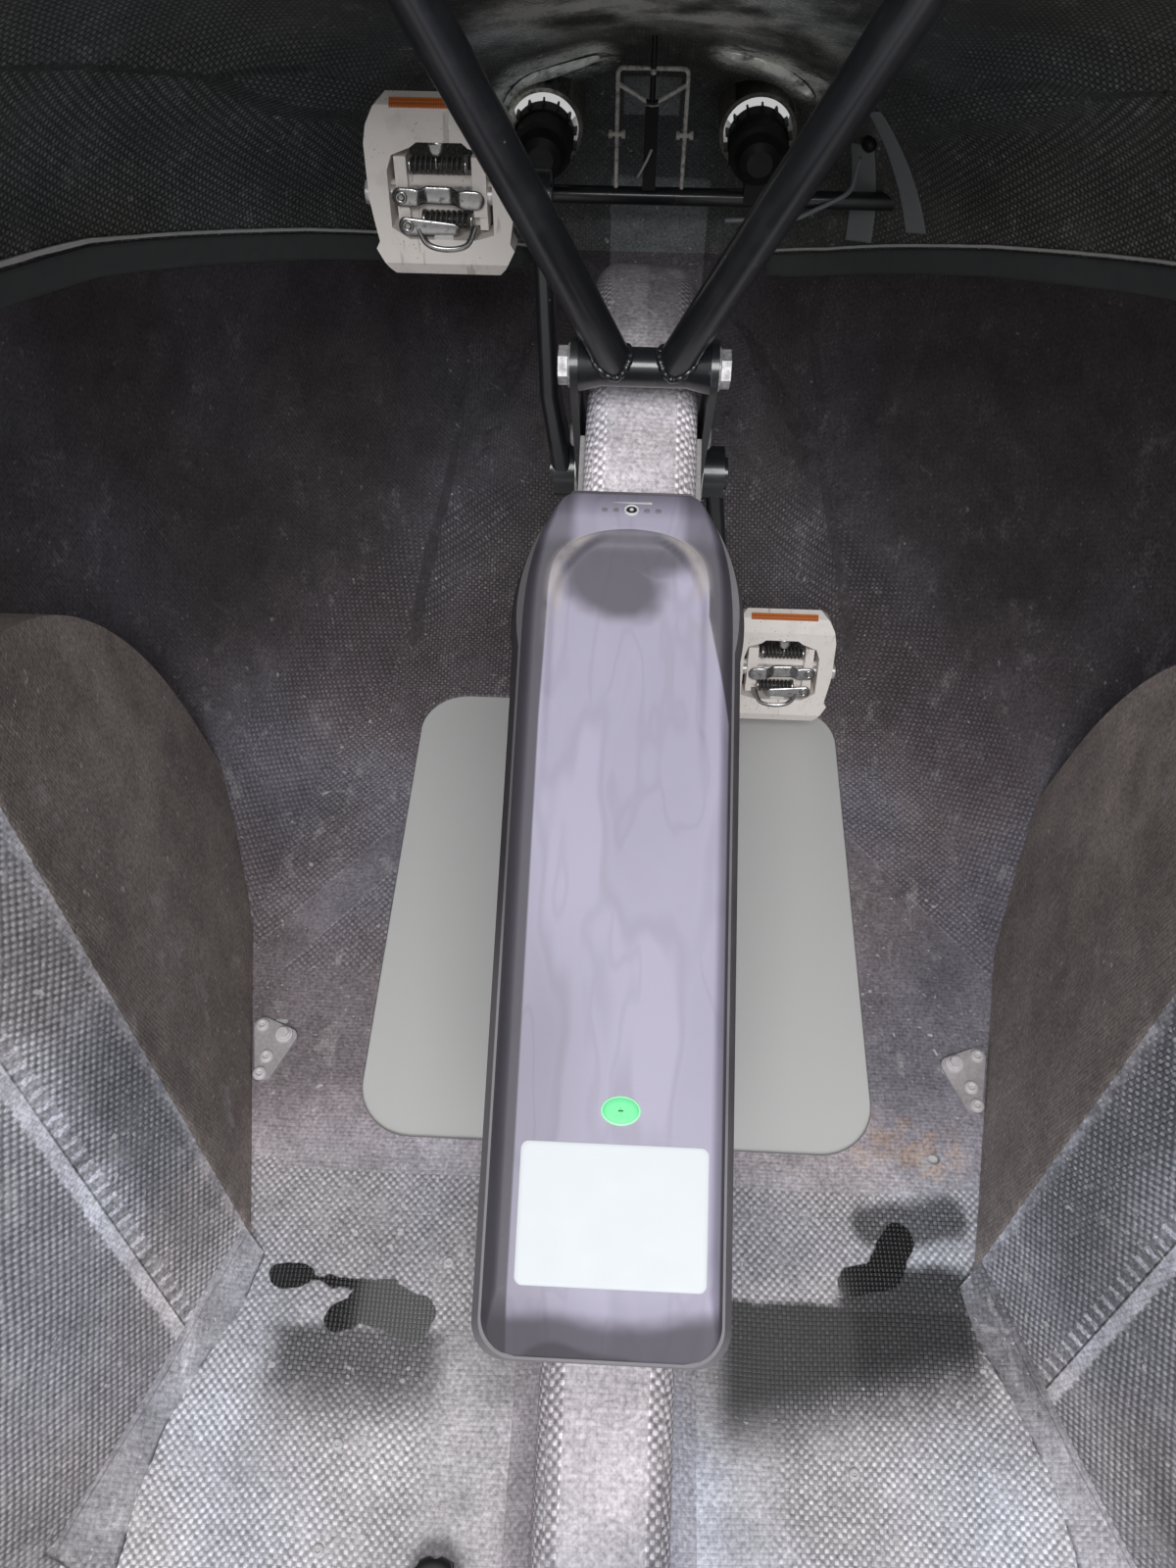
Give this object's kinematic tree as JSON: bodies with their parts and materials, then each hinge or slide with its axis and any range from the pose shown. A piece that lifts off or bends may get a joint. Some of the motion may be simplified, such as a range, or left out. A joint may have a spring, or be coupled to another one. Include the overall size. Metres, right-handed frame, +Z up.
{
  "type": "velomobile front body section",
  "caption": "Front section of a velomobile body: woven laminate nose and footwell with wheel arches, tunnel, battery pack, cranks and clip pedals.",
  "frame": {"origin": "centre of the bottom of the bounding box, on the underside of the floor", "axes": "+X to the rider's right, +Y forward to the nose, +Z up"},
  "size_m": [0.791, 1.12, 0.6174],
  "materials": {
    "laminate": "clear resin over woven laminate",
    "aluminium": "brushed",
    "black_steel": "satin black",
    "steel": "bright",
    "resin": "moulded",
    "reflector": "clear orange",
    "black_plastic": "moulded",
    "button": "moulded",
    "lens": "clear"
  },
  "bodies": {
    "body": {"battery_base": "black_plastic", "bearing_left": "steel", "bearing_right": "steel", "bracket_bolts_left": "steel", "bracket_bolts_right": "steel", "bracket_plate_left": "black_steel", "bracket_plate_right": "black_steel", "centre_tunnel": "laminate", "floor_knob": "black_plastic", "headlamp_left": "black_plastic", "headlamp_right": "black_plastic", "lamp_cable": "black_plastic", "lamp_crossbar": "black_steel", "lamp_hanger": "steel", "lamp_lens_left": "lens", "lamp_lens_right": "lens", "link_bolt_left": "aluminium", "link_bolt_right": "aluminium", "link_plate_left": "aluminium", "link_plate_right": "aluminium", "lower_shell": "laminate", "rail_left": "aluminium", "rail_right": "aluminium", "upper_shell": "laminate", "v_frame": "black_steel", "wheel_arch_left": "laminate", "wheel_arch_right": "laminate"},
    "battery": {"battery_button": "button", "battery_case": "black_plastic", "battery_lid": "black_plastic"},
    "cranks": {"chainring": "steel", "crank_left": "black_steel", "crank_right": "black_steel", "pedal_axle_left": "steel", "pedal_axle_right": "steel", "spindle": "steel"},
    "pedal_left": {"pedal_binding_left": "steel", "pedal_left": "resin", "pedal_reflector_left": "reflector", "pedal_springs_left": "steel"},
    "pedal_right": {"pedal_binding_right": "steel", "pedal_reflector_right": "reflector", "pedal_right": "resin", "pedal_springs_right": "steel"}
  },
  "joints": [
    {"name": "battery_slide", "type": "slide", "parent": "body", "child": "battery", "axis": [0, 0.9246, 0.3809], "range_m": [0, 0.025]},
    {"name": "crank_spin", "type": "hinge", "parent": "body", "child": "cranks", "pos_m": [0, 0.219, 0.239], "axis": [1, 0, 0], "continuous": true},
    {"name": "pedal_left_spin", "type": "hinge", "parent": "cranks", "child": "pedal_left", "pos_m": [-0.1125, 0.23403, 0.41084], "axis": [1, 0, 0], "continuous": true},
    {"name": "pedal_right_spin", "type": "hinge", "parent": "cranks", "child": "pedal_right", "pos_m": [0.1125, 0.20397, 0.06716], "axis": [1, 0, 0], "continuous": true}
  ]
}
